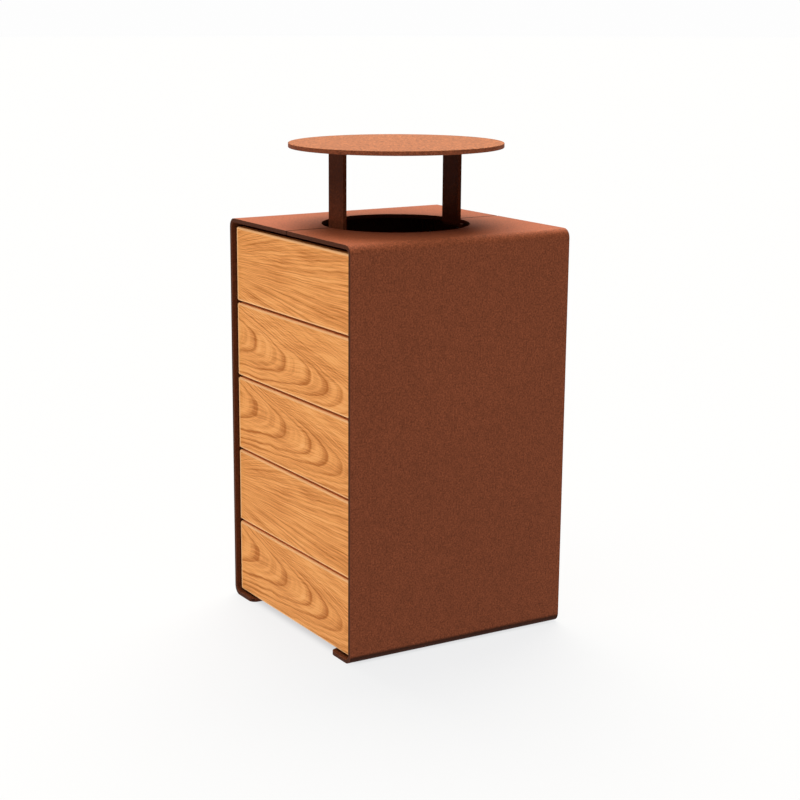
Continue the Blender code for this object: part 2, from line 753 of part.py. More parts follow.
def bail(name, side):
    """A round bar bent to a loop, its two ends turned out into the lugs."""
    low = -BAIL_DROP
    path = [(-0.056, 0), (-BAIL_HALF, 0), (-BAIL_HALF, low)]
    path += [(-y, z) for y, z in reversed(path)]
    path = [Vector(p) for p in path]
    points = filleted(path, (0.004, 0.010, 0.010, 0.004), 5)
    return finish(wire(name, points, BAIL_WIRE, facing(Y, Z, (side * BAIL_X, 0, BAIL_Z))), ZINC)


def build_liner():
    lift = pivot("liner_axis", (0, 0, BASE_TOP))
    hang(lift, *liner_parts())
    for side, hand in ((-1, "left"), (1, "right")):
        swing = pivot(f"handle_{hand}_axis", (side * BAIL_X, 0, BAIL_Z))
        hang(lift, swing)
        hang(swing, bail(f"liner_handle_{hand}", side))


build_shells()
build_cover()
build_base()
build_front()
build_door()
build_liner()
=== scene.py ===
"""The looks of the litter bin: detailed pieces round the CAD frame, materials, light and camera.

Units are metres, +Z is up, the fixed wooden face looks along -Y and the door is in the +Y face.
"""

import json
import math

import bmesh
import bpy
from mathutils import Matrix, Vector

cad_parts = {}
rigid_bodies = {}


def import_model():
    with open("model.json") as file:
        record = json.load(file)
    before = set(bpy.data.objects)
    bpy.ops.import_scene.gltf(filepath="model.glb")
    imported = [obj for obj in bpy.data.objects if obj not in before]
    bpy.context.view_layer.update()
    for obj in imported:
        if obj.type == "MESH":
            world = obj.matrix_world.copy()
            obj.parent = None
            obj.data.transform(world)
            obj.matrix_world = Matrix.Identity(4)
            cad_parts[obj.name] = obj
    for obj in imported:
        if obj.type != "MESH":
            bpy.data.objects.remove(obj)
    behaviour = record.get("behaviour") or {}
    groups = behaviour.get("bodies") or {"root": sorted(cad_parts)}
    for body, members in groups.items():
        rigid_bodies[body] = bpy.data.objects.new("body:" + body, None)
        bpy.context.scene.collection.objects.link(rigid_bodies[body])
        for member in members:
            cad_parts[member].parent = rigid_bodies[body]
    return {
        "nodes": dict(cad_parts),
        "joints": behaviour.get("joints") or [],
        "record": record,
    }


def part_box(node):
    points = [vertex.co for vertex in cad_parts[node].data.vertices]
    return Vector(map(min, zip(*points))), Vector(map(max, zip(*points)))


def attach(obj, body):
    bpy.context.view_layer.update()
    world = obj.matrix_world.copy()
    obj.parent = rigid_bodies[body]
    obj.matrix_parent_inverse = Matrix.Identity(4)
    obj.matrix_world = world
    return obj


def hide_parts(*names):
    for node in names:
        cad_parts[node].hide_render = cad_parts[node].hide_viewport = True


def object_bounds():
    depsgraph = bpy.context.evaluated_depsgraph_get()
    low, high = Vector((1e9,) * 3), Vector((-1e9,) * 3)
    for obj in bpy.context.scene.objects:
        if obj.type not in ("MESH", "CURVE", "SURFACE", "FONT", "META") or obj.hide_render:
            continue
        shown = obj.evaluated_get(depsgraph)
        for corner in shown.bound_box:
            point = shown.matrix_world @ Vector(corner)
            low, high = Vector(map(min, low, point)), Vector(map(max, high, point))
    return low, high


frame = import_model()
CAD_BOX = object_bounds()

SCENE = bpy.context.scene
BODIES = frame["record"]["behaviour"]["bodies"]
BODY_OF = {node: body for body, nodes in BODIES.items() for node in nodes}
Y, Z = Vector((0, 1, 0)), Vector((0, 0, 1))
BOARDS = 5


# ---------------------------------------------------------------- shader nodes


class Shader:
    """A material's node tree, with one short call for each kind of node."""

    def __init__(self, name):
        self.material = bpy.data.materials.new(name)
        self.material.use_nodes = True
        self.tree = self.material.node_tree
        self.surface = self.tree.nodes["Principled BSDF"]

    def add(self, kind, inputs=(), **settings):
        node = self.tree.nodes.new(kind)
        for key, value in settings.items():
            setattr(node, key, value)
        for socket, value in dict(inputs).items():
            self.feed(node.inputs[socket], value)
        return node

    def feed(self, socket, value):
        if isinstance(value, bpy.types.NodeSocket):
            self.tree.links.new(value, socket)
        elif value is not None:
            socket.default_value = value

    def set(self, **values):
        """Sets or links the surface shader's own sockets."""
        for key, value in values.items():
            self.feed(self.surface.inputs[key.replace("_", " ")], value)

    def place(self):
        """The point's place in the object's own space, in metres."""
        return self.add("ShaderNodeTexCoord").outputs["Object"]

    def split(self, vector):
        node = self.add("ShaderNodeSeparateXYZ", {0: vector})
        return node.outputs[0], node.outputs[1], node.outputs[2]

    def vector(self, x, y, z):
        return self.add("ShaderNodeCombineXYZ", {0: x, 1: y, 2: z}).outputs[0]

    def math(self, operation, a, b=None, c=None):
        inputs = {0: a, 1: b, 2: c}
        return self.add("ShaderNodeMath", inputs, operation=operation).outputs[0]

    def noise(self, vector, scale, detail=2.0, rough=0.5, distortion=0.0):
        inputs = {
            "Vector": vector,
            "Scale": scale,
            "Detail": detail,
            "Roughness": rough,
            "Distortion": distortion,
        }
        return self.add("ShaderNodeTexNoise", inputs).outputs[0]

    def fit(self, value, low, high, to_low=0.0, to_high=1.0, smooth=False):
        """Maps low..high to to_low..to_high, and stops at both ends."""
        inputs = {0: value, 1: low, 2: high, 3: to_low, 4: to_high}
        kind = "SMOOTHSTEP" if smooth else "LINEAR"
        return self.add("ShaderNodeMapRange", inputs, interpolation_type=kind).outputs[0]

    def swing(self, value, amount):
        """A factor round 1 that strays by this amount each way as a noise does."""
        return self.fit(value, 0.3, 0.7, 1 - amount, 1 + amount)

    def distance(self, value, middle):
        return self.math("ABSOLUTE", self.math("SUBTRACT", value, middle))

    def ramp(self, value, stops):
        node = self.add("ShaderNodeValToRGB", {0: value})
        ends = node.color_ramp.elements
        while len(ends) < len(stops):
            ends.new(0.5)
        for end, (position, colour) in zip(ends, stops):
            end.position = position
            end.color = (*colour, 1)
        return node.outputs[0]

    def mix(self, share, a, b, blend="MIX"):
        node = self.add("ShaderNodeMix", data_type="RGBA", blend_type=blend)
        for socket, value in ((0, share), (6, a), (7, b)):
            if isinstance(value, tuple) and len(value) == 3:
                value = (*value, 1)
            self.feed(node.inputs[socket], value)
        return node.outputs[2]

    def shade(self, colour, amount):
        """The colour times a number."""
        grey = self.vector(amount, amount, amount)
        return self.mix(1.0, colour, grey, "MULTIPLY")

    def bump(self, height, distance, strength):
        inputs = {"Height": height, "Distance": distance, "Strength": strength}
        return self.add("ShaderNodeBump", inputs).outputs[0]


# ---------------------------------------------------------------- materials


# The powder coat's noises, in counts per metre.
FINE, GRAINS, PATCHES, MOTTLE, BROAD, RUBBED = 1100, 300, 150, 62, 5.0, 90
GRAIN_SWING, MOTTLE_SWING, BROAD_SWING = 0.42, 0.05, 0.03
LEG_SHADE_SHARE = 0.75  # how far up the cover leg the painted shade is at its full strength
# Painted shade along the coat's foot: how dark it gets, and where it is at full strength.
BOTTOM_SHADE_LEVEL = 0.18
BOTTOM_SHADE_FULL = 0.62  # the share of the painted shade's height under which it is at its full strength


def coat(
    name,
    colour,
    rough=0.72,
    grain=1.0,
    worn=0.0,
    seed=0.0,
    speckle=0.12,
    leg_shade=None,
    bottom_shade_height=0.0,
):
    """Fine-textured powder coat: small grains and faint mottling.

    worn is the strength of rubbed spots; the shade colour is painted shade that takes over up
    the cover leg towards the disc above; the shade height is the height in metres under which
    the coat is darkened by painted shade.
    """
    s = Shader(name)
    place = s.add("ShaderNodeVectorMath", {0: s.place(), 1: (seed, seed, seed)}).outputs[0]
    height = s.split(s.place())[2]
    fine = s.noise(place, FINE, 2.0, 0.6)
    grains = s.noise(place, GRAINS, 3.5, 0.7)
    level = s.swing(grains, GRAIN_SWING * grain)
    for noise, amount in (
        (s.noise(place, PATCHES, 3.0, 0.6), speckle * grain),
        (s.noise(place, MOTTLE, 2.0, 0.5), MOTTLE_SWING * grain),
        (s.noise(place, BROAD, 3.0, 0.55), BROAD_SWING),
    ):
        level = s.math("MULTIPLY", level, s.swing(noise, amount))
    # Painted shade: the coat darkens below the given height, along its foot.
    if bottom_shade_height:
        bottom_shade = s.fit(height, BOTTOM_SHADE_FULL * bottom_shade_height, bottom_shade_height, BOTTOM_SHADE_LEVEL, 1.0, smooth=True)
        level = s.math("MULTIPLY", level, bottom_shade)
    tint = s.shade(colour, level)
    # Painted shade: this colour takes over up the cover leg, darkening it towards the disc above.
    if leg_shade:
        low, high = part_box("cover_leg_front")
        shade_climb = s.fit(height, low.z, low.z + LEG_SHADE_SHARE * (high.z - low.z), smooth=True)
        tint = s.mix(shade_climb, tint, s.shade(leg_shade, level))
    if worn:
        rubbed = s.fit(s.noise(place, RUBBED, 4.0, 0.7), 0.50, 0.66, 0.0, worn)
        pale = tuple(min(1.0, c * 1.7 + 0.02) for c in colour)
        tint = s.mix(rubbed, tint, s.shade(pale, level))
    s.set(Base_Color=tint)
    s.set(Roughness=s.fit(grains, 0.2, 0.8, rough - 0.07, rough + 0.09))
    s.set(Specular_IOR_Level=0.08)
    relief = s.math("MULTIPLY_ADD", fine, 0.35, s.math("MULTIPLY", grains, 0.65))
    s.set(Normal=s.bump(relief, 0.0004 * grain, 0.8))
    return s.material


OAK = (0.890, 0.372, 0.108)
OAK_DARK = (0.470, 0.135, 0.022)
OAK_LIGHT = (0.980, 0.490, 0.180)
OAK_EDGE_HIGHLIGHT = (1.0, 0.58, 0.27)  # the painted highlight on the eased edges
OAK_GAP_SHADE = (0.58, 0.130, 0.012)  # painted shade on the long edges in the gaps
BOARD_EASE = 0.0042
FLAME_LEAN = 0.124  # how much the flame's lines climb along the board
FLAME_AXIS, FLAME_ABOVE, FLAME_BELOW, FLAME_DEPTH = 6.0, 24.0, 42.0, 33.0
FAN_ORIGIN, FAN_START, FAN_SPREAD = 9.0, 2.2, 0.0047


def flame(s, x, z):
    """Ring lines that run along X and close in pointed arches, which point to +X. Millimetres."""
    w = s.math("MULTIPLY_ADD", x, FLAME_LEAN, s.math("SUBTRACT", z, FLAME_AXIS))
    above = s.math("DIVIDE", s.math("MAXIMUM", w, 0.0), FLAME_ABOVE)
    below = s.math("DIVIDE", s.math("MAXIMUM", s.math("MULTIPLY", w, -1.0), 0.0), FLAME_BELOW)
    r = s.math("POWER", s.math("ADD", above, below), 3.0)
    side = s.math("SUBTRACT", s.math("POWER", s.math("ADD", r, 1.0), 1 / 3), 1.0)
    return s.math("MULTIPLY_ADD", side, FLAME_DEPTH, s.math("MULTIPLY", x, FLAME_LEAN))


def fan(s, x, z):
    """Ring lines that spread from the left. Millimetres."""
    spread = s.math("MULTIPLY_ADD", x, FAN_SPREAD, FAN_START)
    above = s.math("MULTIPLY", s.math("ADD", z, FAN_ORIGIN), FAN_START)
    return s.math("DIVIDE", above, spread)


# The flame's rings, as distances across its arches in millimetres, and the span that they use.
FLAME_RINGS = (-31.0, -19.0, -3.5, 9.7, 18.2, 25.0, 31.0, 37.5, 44.0, 52.0)
RING_SPAN = (-45.0, 65.0)
STRONG_RINGS = 5


def ring_ramp(s, field):
    """The dark wood of each listed ring: it deepens slowly and ends at a sharp line."""
    low, high = RING_SPAN
    stops = [(low, 0.05)]
    before = low
    for k, ring in enumerate(FLAME_RINGS):
        depth = 1.0 if k < STRONG_RINGS else 0.6
        width = min(3.2, 0.4 * (ring - before))
        stops += [(ring - width, 0.06), (ring, depth), (ring + 0.8, 0.08)]
        before = ring
    spots = [((at - low) / (high - low), (v, v, v)) for at, v in stops]
    return s.ramp(s.fit(field, low, high), spots)


def streaks(s, x, z, seed, along, across, low=0.32, high=0.68):
    """Noise drawn out along the grain: along and across are its counts per millimetre."""
    place = s.vector(s.math("MULTIPLY", x, along), s.math("MULTIPLY", z, across), seed)
    return s.fit(s.noise(place, 1.0, 2.0, 0.55), low, high, smooth=True)


# How each pattern's lines bend in millimetres, how crowded they are, and how much the coarse
# streaks, the lines and the threads count.
PATTERNS = {
    "flame": dict(sway=7.0, ripple=1.3, crowd=0.30, weights=(0.10, 0.17, 0.24)),
    "fan": dict(sway=4.0, ripple=0.5, crowd=0.44, weights=(0.22, 0.24, 0.20)),
}
TO_MM = 1000.0
LOG_SLANT = 240.0  # how far the rings shift for a metre of depth, in millimetres


def oak(name, middle, half, pattern="flame", flip=1.0, turn=1.0, shift=0.0, seed=0.0):
    """Oiled oak cut from a log: ring lines, fibres along them, pores, a painted highlight on the
    eased edges and painted shade on the long edges in the gaps.
    """
    s = Shader(name)
    look = PATTERNS[pattern]
    px, py, pz = s.split(s.place())

    # the point in the log, in millimetres, with its height bent by slow noise
    x = s.math("MULTIPLY", px, TO_MM * turn)
    z = s.math("MULTIPLY_ADD", s.math("SUBTRACT", pz, middle.z), TO_MM * flip, shift)
    z = s.math("MULTIPLY_ADD", s.math("SUBTRACT", py, middle.y), LOG_SLANT, z)
    bent = z
    for along, across, start, reach in (
        (0.006, 0.014, seed, look["sway"]),
        (0.03, 0.05, seed + 9, look["ripple"]),
    ):
        at = s.vector(s.math("MULTIPLY", x, along), s.math("MULTIPLY", z, across), start)
        bent = s.math("ADD", bent, s.fit(s.noise(at, 1.0), 0.2, 0.8, -reach, reach))
    field = flame(s, x, bent) if pattern == "flame" else fan(s, x, bent)

    coarse = streaks(s, x, field, seed + 2, 0.003, 0.17)
    lines = streaks(s, x, field, seed + 3, 0.004, look["crowd"], 0.40, 0.62)
    threads = streaks(s, x, bent, seed + 4, 0.010, 0.42, 0.40, 0.62)
    hairs = streaks(s, x, bent, seed + 5, 0.06, 2.6)
    pore = streaks(s, x, bent, seed + 6, 0.11, 1.9, 0.58, 0.70)
    cloud = streaks(s, x, bent, seed + 7, 0.006, 0.03)
    if pattern == "flame":
        rings = ring_ramp(s, field)
    else:
        fine = s.math("FRACT", s.math("MULTIPLY", field, 0.13))
        rings = s.math("MULTIPLY", s.math("POWER", fine, 4.0), s.math("MULTIPLY", coarse, 0.7))
    pores = s.math("MULTIPLY", pore, s.fit(rings, 0.0, 0.6, 0.4, 1.0))
    dark = s.math("MULTIPLY", rings, 0.52)
    weights = (*look["weights"], 0.12, 0.28, 0.16)
    for part, weight in zip((coarse, lines, threads, hairs, pores, cloud), weights):
        dark = s.math("MULTIPLY_ADD", part, weight, dark)
    tint = s.ramp(s.fit(dark, 0.04, 0.92), [(0.0, OAK_LIGHT), (0.36, OAK), (1.0, OAK_DARK)])

    # Painted highlight: the eased edges are mixed towards a pale tint.
    rim = edge_highlight_share(s, (px, pz), (middle.x, middle.z), (half.x, half.z), (0.0095, 0.0060))
    tint = s.mix(rim, tint, s.mix(0.75, tint, OAK_EDGE_HIGHLIGHT))
    # Painted shade: the long edges inside the gaps between boards are darkened.
    depth = s.distance(py, middle.y)
    gap_shade = s.fit(depth, half.y - BOARD_EASE, half.y - 0.0026, 1.0, 0.0)
    side = s.math("SUBTRACT", half.z - 0.0006, s.distance(pz, middle.z))
    gap_shade = s.math("MULTIPLY", gap_shade, s.fit(side, 0.0, 0.0006, 0.78, 0.0))
    s.set(Base_Color=s.mix(gap_shade, tint, OAK_GAP_SHADE))
    s.set(Roughness=s.math("MULTIPLY_ADD", pore, 0.2, s.fit(dark, 0.0, 1.0, 0.58, 0.46)))
    s.set(Specular_IOR_Level=0.04)
    relief = s.math("MULTIPLY_ADD", hairs, 0.4, s.math("MULTIPLY", threads, 0.6))
    relief = s.math("SUBTRACT", relief, s.math("MULTIPLY", pore, 0.9))
    s.set(Normal=s.bump(relief, 0.00016, 0.7))
    return s.material


def edge_highlight_share(s, points, middles, halves, widths):
    """The share of the painted highlight: 1 at the outline of a board's face, falling to 0 at
    these distances inside it.
    """
    share = None
    for point, middle, half, width in zip(points, middles, halves, widths):
        inside = s.math("SUBTRACT", half, s.distance(point, middle))
        near = s.fit(inside, width * 0.55, width, 1.0, 0.0, smooth=True)
        share = near if share is None else s.math("MAXIMUM", share, near)
    return share


def zinc(name):
    """Zinc-plated steel: a cloudy grey plate with fine draw marks."""
    s = Shader(name)
    place = s.place()
    cloud = s.noise(place, 160, 4.0, 0.6)
    marks = s.noise(place, 1400, 3.0, 0.7, 1.5)
    bloom = s.fit(cloud, 0.3, 0.7, 0.86, 1.06)
    level = s.math("MULTIPLY", bloom, s.fit(marks, 0.3, 0.7, 0.93, 1.05))
    s.set(Base_Color=s.shade((0.56, 0.57, 0.58), level), Metallic=1.0)
    s.set(Roughness=s.fit(cloud, 0.3, 0.7, 0.27, 0.46))
    s.set(Normal=s.bump(marks, 0.00005, 0.6))
    return s.material


def black_coat(name):
    """Black-coated sheet, scuffed by use."""
    s = Shader(name)
    place = s.place()
    upright = [s.math("MULTIPLY", p, scale) for p, scale in zip(s.split(place), (90, 90, 7))]
    scrapes = s.noise(s.vector(*upright), 1.0, 4.0, 0.7)
    grains = s.noise(place, 900, 2.0, 0.6)
    dust = s.noise(place, 9, 4.0, 0.6)
    level = s.math("MULTIPLY", s.swing(grains, 0.15), s.fit(dust, 0.35, 0.7, 0.85, 1.6))
    scuffed = s.fit(scrapes, 0.60, 0.74, 0.0, 0.45)
    s.set(Base_Color=s.mix(scuffed, s.shade((0.013, 0.014, 0.015), level), (0.055, 0.055, 0.055)))
    s.set(Roughness=s.fit(scrapes, 0.3, 0.7, 0.42, 0.60), Specular_IOR_Level=0.4)
    s.set(Normal=s.bump(grains, 0.0001, 0.6))
    return s.material


def rubber(name):
    s = Shader(name)
    grains = s.noise(s.place(), 1300, 3.0, 0.6)
    bloom = s.noise(s.place(), 120, 3.0, 0.6)
    s.set(Base_Color=s.shade((0.018, 0.018, 0.019), s.fit(bloom, 0.3, 0.7, 0.8, 1.5)))
    s.set(Roughness=s.fit(grains, 0.3, 0.7, 0.72, 0.88), Normal=s.bump(grains, 0.00012, 0.7))
    return s.material


def pale_floor(name):
    """A pale floor that glows, so that it is near white, and glows less close round the bin: a
    painted contact shadow.
    """
    s = Shader(name)
    tone = s.noise(s.place(), 0.7, 3.0, 0.5)
    s.set(Base_Color=s.shade((0.08, 0.08, 0.08), s.swing(tone, 0.005)))
    s.set(Roughness=0.9, Specular_IOR_Level=0.0)
    half = CAD_BOX[1][0] - 0.03
    squares = []
    for p in s.split(s.place())[:2]:
        out = s.math("MAXIMUM", s.math("SUBTRACT", s.math("ABSOLUTE", p), half), 0.0)
        squares.append(s.math("MULTIPLY", out, out))
    reach = s.math("SQRT", s.math("ADD", *squares))
    # Painted contact shadow: the glow falls off close round the bin.
    shadowed_glow = s.fit(reach, 0.0, 0.035, 0.60, 0.82, smooth=True)
    s.set(Emission_Color=(0.985, 0.99, 1.0, 1), Emission_Strength=shadowed_glow)
    return s.material


COAT = coat("rust_coat", (0.254, 0.068, 0.029), bottom_shade_height=0.0205)
COAT_DISC = coat("rust_coat_disc", (0.262, 0.087, 0.034), seed=9.0, speckle=0.38)
# Near-black coat along the seam between the shells: painted shade in the seam.
COAT_SEAM_SHADE = coat("rust_coat_seam_shade", (0.026, 0.007, 0.003), seed=8.0)
# The legs' coats: the rear leg's is darker all over, painted shade, and both darken up the leg
# under the disc, painted shade too.
COAT_LEGS_SHADED = {
    "front": coat(
        "rust_coat_leg_front_shaded", (0.260, 0.072, 0.030), seed=7.0, leg_shade=(0.080, 0.018, 0.005)
    ),
    "rear": coat(
        "rust_coat_leg_rear_shaded", (0.150, 0.036, 0.010), seed=6.0, leg_shade=(0.062, 0.012, 0.003)
    ),
}
# Dark coat for the shells' cut faces and inside: painted shade.
COAT_CUT_SHADE = coat("rust_coat_inside_shade", (0.092, 0.025, 0.009), 0.60, 0.8, seed=3.0)
COAT_EDGE = coat("rust_coat_rubbed_edge", (0.250, 0.068, 0.030), 0.58, 0.8, 0.5, seed=5.0)
STEEL_SET = [COAT, COAT_CUT_SHADE, COAT_EDGE]
OUTER, SHADED_INSIDE, EDGE, SEAM_SHADE = 0, 1, 2, 3  # the slots of STEEL_SET, the second of them painted shade, and the seam's painted shade after them
ZINC = zinc("zinc_plate")
LINER = black_coat("liner_black")
RUBBER = rubber("black_rubber")


# ---------------------------------------------------------------- mesh tools


SHARP = math.radians(25)
SHADED_SHARP = math.radians(50)
SAME_PLANE = math.radians(0.4)
SAME_POINT = 0.00002


def link(name, mesh, materials=()):
    obj = bpy.data.objects.new(name, mesh)
    SCENE.collection.objects.link(obj)
    for material in materials:
        obj.data.materials.append(material)
    return obj


def to_object(bm, name, materials):
    """Makes an object from the bmesh, with its shading weighted towards the large faces."""
    bmesh.ops.recalc_face_normals(bm, faces=bm.faces)
    for face in bm.faces:
        face.smooth = True
    mesh = bpy.data.meshes.new(name)
    bm.to_mesh(mesh)
    bm.free()
    obj = link(name, mesh, materials)
    mesh.set_sharp_from_angle(angle=SHADED_SHARP)
    weighted = obj.modifiers.new("Weighted normals", "WEIGHTED_NORMAL")
    weighted.keep_sharp = True
    return obj


def sharp_edges(bm):
    return [e for e in bm.edges if e.is_manifold and e.calc_face_angle() > SHARP]


def bevel(bm, width, segments=2, material=-1, edges=None):
    bmesh.ops.bevel(
        bm,
        geom=edges if edges is not None else sharp_edges(bm),
        offset=width,
        offset_type="OFFSET",
        segments=segments,
        profile=0.5,
        affect="EDGES",
        clamp_overlap=True,
        material=material,
    )


def rejoin_flats(bm):
    bmesh.ops.dissolve_limit(
        bm, angle_limit=SAME_PLANE, verts=bm.verts, edges=bm.edges, delimit=set()
    )


def solid_of(node):
    """The node's mesh with its flat areas rejoined."""
    bm = bmesh.new()
    bm.from_mesh(frame["nodes"][node].data)
    bmesh.ops.remove_doubles(bm, verts=bm.verts, dist=SAME_POINT)
    for face in bm.faces:
        face.material_index = OUTER
    rejoin_flats(bm)
    return bm


def stand_for(obj, node):
    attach(obj, BODY_OF[node])
    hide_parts(node)
    return obj


def detailed(node, name, materials, width, segments=2):
    """A finished copy of a CAD solid with rounded edges, which the steel set coats as rubbed."""
    bm = solid_of(node)
    bevel(bm, width, segments, EDGE if materials is STEEL_SET else -1)
    return stand_for(to_object(bm, name, materials), node)


# ---------------------------------------------------------------- shells and cover


MIDDLE_Z = 0.40
SEAM_EDGE = 0.0015  # the seam's own edges lie closer than this to the middle
SEAM_ROUND = 0.0020
SEAM_ZONE = 0.0032  # the faces closer than this to the middle belong to the seam, which takes near-black painted shade


def shell_cut(normal, centre):
    """The faces that the plate was cut along, the opening's wall, and the inside: these take the
    dark coat of painted shade.
    """
    inward = -normal.x * centre.x + normal.z * (MIDDLE_Z - centre.z)
    return abs(normal.y) > 0.9 or inward - normal.y * centre.y * (abs(normal.z) < 0.1) > 0


for side in ("left", "right"):
    bm = solid_of(f"side_shell_{side}")
    # The cut faces and the inside take the dark coat: painted shade.
    for face in bm.faces:
        if shell_cut(face.normal, face.calc_center_median()):
            face.material_index = SHADED_INSIDE
    seam = [
        e
        for e in bm.edges
        if all(abs(v.co.x) < SEAM_EDGE and v.co.z > MIDDLE_Z for v in e.verts)
        and abs(e.verts[0].co.y - e.verts[1].co.y) > 0.01
    ]
    bevel(bm, SEAM_ROUND, 3, OUTER, seam)
    bevel(bm, 0.0008, 3, EDGE)
    # The seam's faces take the near-black coat: painted shade in the seam.
    for face in bm.faces:
        centre = face.calc_center_median()
        if abs(centre.x) < SEAM_ZONE and centre.z > MIDDLE_Z:
            face.material_index = SEAM_SHADE
    shell = to_object(bm, f"shell_{side}", STEEL_SET + [COAT_SEAM_SHADE])
    stand_for(shell, f"side_shell_{side}")

DISC_LIP = 0.0011
DISC_STEPS = 160
low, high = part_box("rain_cover_disc")
radius = high.x
profile = [(0.0, high.z), (radius * 0.5, high.z), (radius - DISC_LIP, high.z)]
for k in range(1, 4):
    a = math.pi / 2 * k / 4
    r, z = radius - DISC_LIP + DISC_LIP * math.sin(a), high.z - DISC_LIP + DISC_LIP * math.cos(a)
    profile.append((r, z))
profile.append((radius, high.z - DISC_LIP))
profile += [(r, low.z + high.z - z) for r, z in reversed(profile)]
bm = bmesh.new()
verts = [bm.verts.new((r, 0, z)) for r, z in profile]
edges = [bm.edges.new(pair) for pair in zip(verts, verts[1:])]
bmesh.ops.spin(
    bm,
    geom=verts + edges,
    axis=Z,
    cent=(0, 0, 0),
    angle=math.tau,
    steps=DISC_STEPS,
    use_merge=True,
)
bmesh.ops.remove_doubles(bm, verts=bm.verts, dist=0.000005)
# The rim takes the darker shell coat: painted shade that sets it off from the disc's top.
for face in bm.faces:
    centre = face.calc_center_median()
    if centre.z < high.z - DISC_LIP / 2 and math.hypot(centre.x, centre.y) > radius - DISC_LIP:
        face.material_index = 1
disc = to_object(bm, "cover_disc", [COAT_DISC, COAT])
stand_for(disc, "rain_cover_disc")

for end in ("front", "rear"):
    detailed(f"cover_leg_{end}", f"leg_{end}", [COAT_LEGS_SHADED[end]], 0.0008, 3)
    detailed(f"top_crossbar_{end}", f"crossbar_{end}", STEEL_SET, 0.0005)


# ---------------------------------------------------------------- boards

BOARD_TRIM = 0.0005  # taken off the top and the bottom, which widens the gaps a little
LOCK_HOLE = 0.0100


def joint_at(name):
    return Vector(next(joint["pos_m"] for joint in frame["joints"] if joint["name"] == name))


HINGE, LOCK = joint_at("door_hinge"), joint_at("lock_turn")


def cube(bm, low, high):
    place = Matrix.Translation((low + high) / 2) @ Matrix.Diagonal((*(high - low), 1))
    return bmesh.ops.create_cube(bm, size=1, matrix=place)["verts"]


def axis_place(base, axis):
    """The placing that puts local Z on this axis, from this point."""
    return Matrix.Translation(base) @ axis.to_track_quat("Z", "Y").to_matrix().to_4x4()


def round_tool(bm, base, axis, length, radius):
    place = axis_place(base, axis) @ Matrix.Translation((0, 0, length / 2))
    bmesh.ops.create_cone(
        bm,
        cap_ends=True,
        segments=64,
        radius1=radius,
        radius2=radius,
        depth=length,
        matrix=place,
    )


def cut_away(bm, cutters):
    """Cuts these shapes, each a function that fills a bmesh, out of the solid."""
    target = link("target", bpy.data.meshes.new("target"))
    bm.to_mesh(target.data)
    bm.free()
    tools = []
    for fill in cutters:
        tool_bm = bmesh.new()
        fill(tool_bm)
        bmesh.ops.recalc_face_normals(tool_bm, faces=tool_bm.faces)
        tool = link("tool", bpy.data.meshes.new("tool"))
        tool_bm.to_mesh(tool.data)
        tool_bm.free()
        tools.append(tool)
        modifier = target.modifiers.new("Cut", "BOOLEAN")
        modifier.operation, modifier.solver, modifier.object = "DIFFERENCE", "EXACT", tool
    bpy.context.view_layer.update()
    result = target.evaluated_get(bpy.context.evaluated_depsgraph_get()).to_mesh()
    bm = bmesh.new()
    bm.from_mesh(result)
    for obj in [target] + tools:
        bpy.data.objects.remove(obj)
    return bm


def board_piece(node, name, look, cutters=()):
    """A board with well rounded edges, and any notches or hole cut through them."""
    low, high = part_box(node)
    material = oak(name.replace("board", "wood"), (low + high) / 2, (high - low) / 2, **look)
    bm = bmesh.new()
    cube(bm, low + Z * BOARD_TRIM, high - Z * BOARD_TRIM)
    bevel(bm, BOARD_EASE, 5)
    if cutters:
        bm = cut_away(bm, cutters)
    return stand_for(to_object(bm, name, [material]), node)


FRONT_LOOKS = (
    dict(pattern="fan", seed=1.0),
    dict(pattern="flame", shift=19.0, seed=8.0),
    dict(pattern="flame", seed=4.0),
    dict(pattern="fan", seed=1.0),
    dict(pattern="flame", seed=4.0),
)
DOOR_LOOKS = (
    dict(pattern="flame", turn=-1.0, seed=11.0),
    dict(pattern="fan", flip=-1.0, seed=12.0),
    dict(pattern="flame", shift=14.0, seed=13.0),
    dict(pattern="fan", turn=-1.0, seed=14.0),
    dict(pattern="flame", flip=-1.0, turn=-1.0, shift=6.0, seed=15.0),
)
# Half width, depth and height, in metres, of the shoe's notch and of the pin's slot.
NOTCH = Vector((0.016, 0.030, 0.030))
SLOT = Vector((0.008, 0.030, 0.016))
SHOE_CLEAR, PIN_CLEAR = 0.001, 0.0072
OVER_TOP = 0.01


def notch(bm, size, back, low, high):
    """A box on the hinge's line, as deep as size says, which ends at back."""
    start = Vector((HINGE.x - size.x, back - size.y, low))
    cube(bm, start, Vector((HINGE.x + size.x, back, high)))


def shoe_notch(bm):
    notch(bm, NOTCH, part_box("pivot_shoe_bottom")[1].y + SHOE_CLEAR, 0.0, NOTCH.z)


def pin_slot(bm):
    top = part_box("door_board_1")[1].z
    notch(bm, SLOT, HINGE.y + PIN_CLEAR, top - SLOT.z, top + OVER_TOP)


def lock_hole(bm):
    start, length = 0.18, 0.10
    round_tool(bm, Vector((LOCK.x, start, LOCK.z)), Y, length, LOCK_HOLE)


DOOR_CUTS = {0: [pin_slot], 1: [lock_hole], 4: [shoe_notch]}
for row in range(BOARDS):
    board_piece(f"front_board_{row + 1}", f"oak_board_front_{row + 1}", FRONT_LOOKS[row])
    cutters = DOOR_CUTS.get(row, ())
    board_piece(f"door_board_{row + 1}", f"oak_board_door_{row + 1}", DOOR_LOOKS[row], cutters)


# ---------------------------------------------------------------- fasteners and turned pieces


def skin(bm, rows, following):
    """Faces between each closed row of vertices and the one that follows it."""
    for a, b in zip(rows, following):
        for k in range(len(a)):
            n = (k + 1) % len(a)
            bm.faces.new((a[k], a[n], b[n], b[k]))


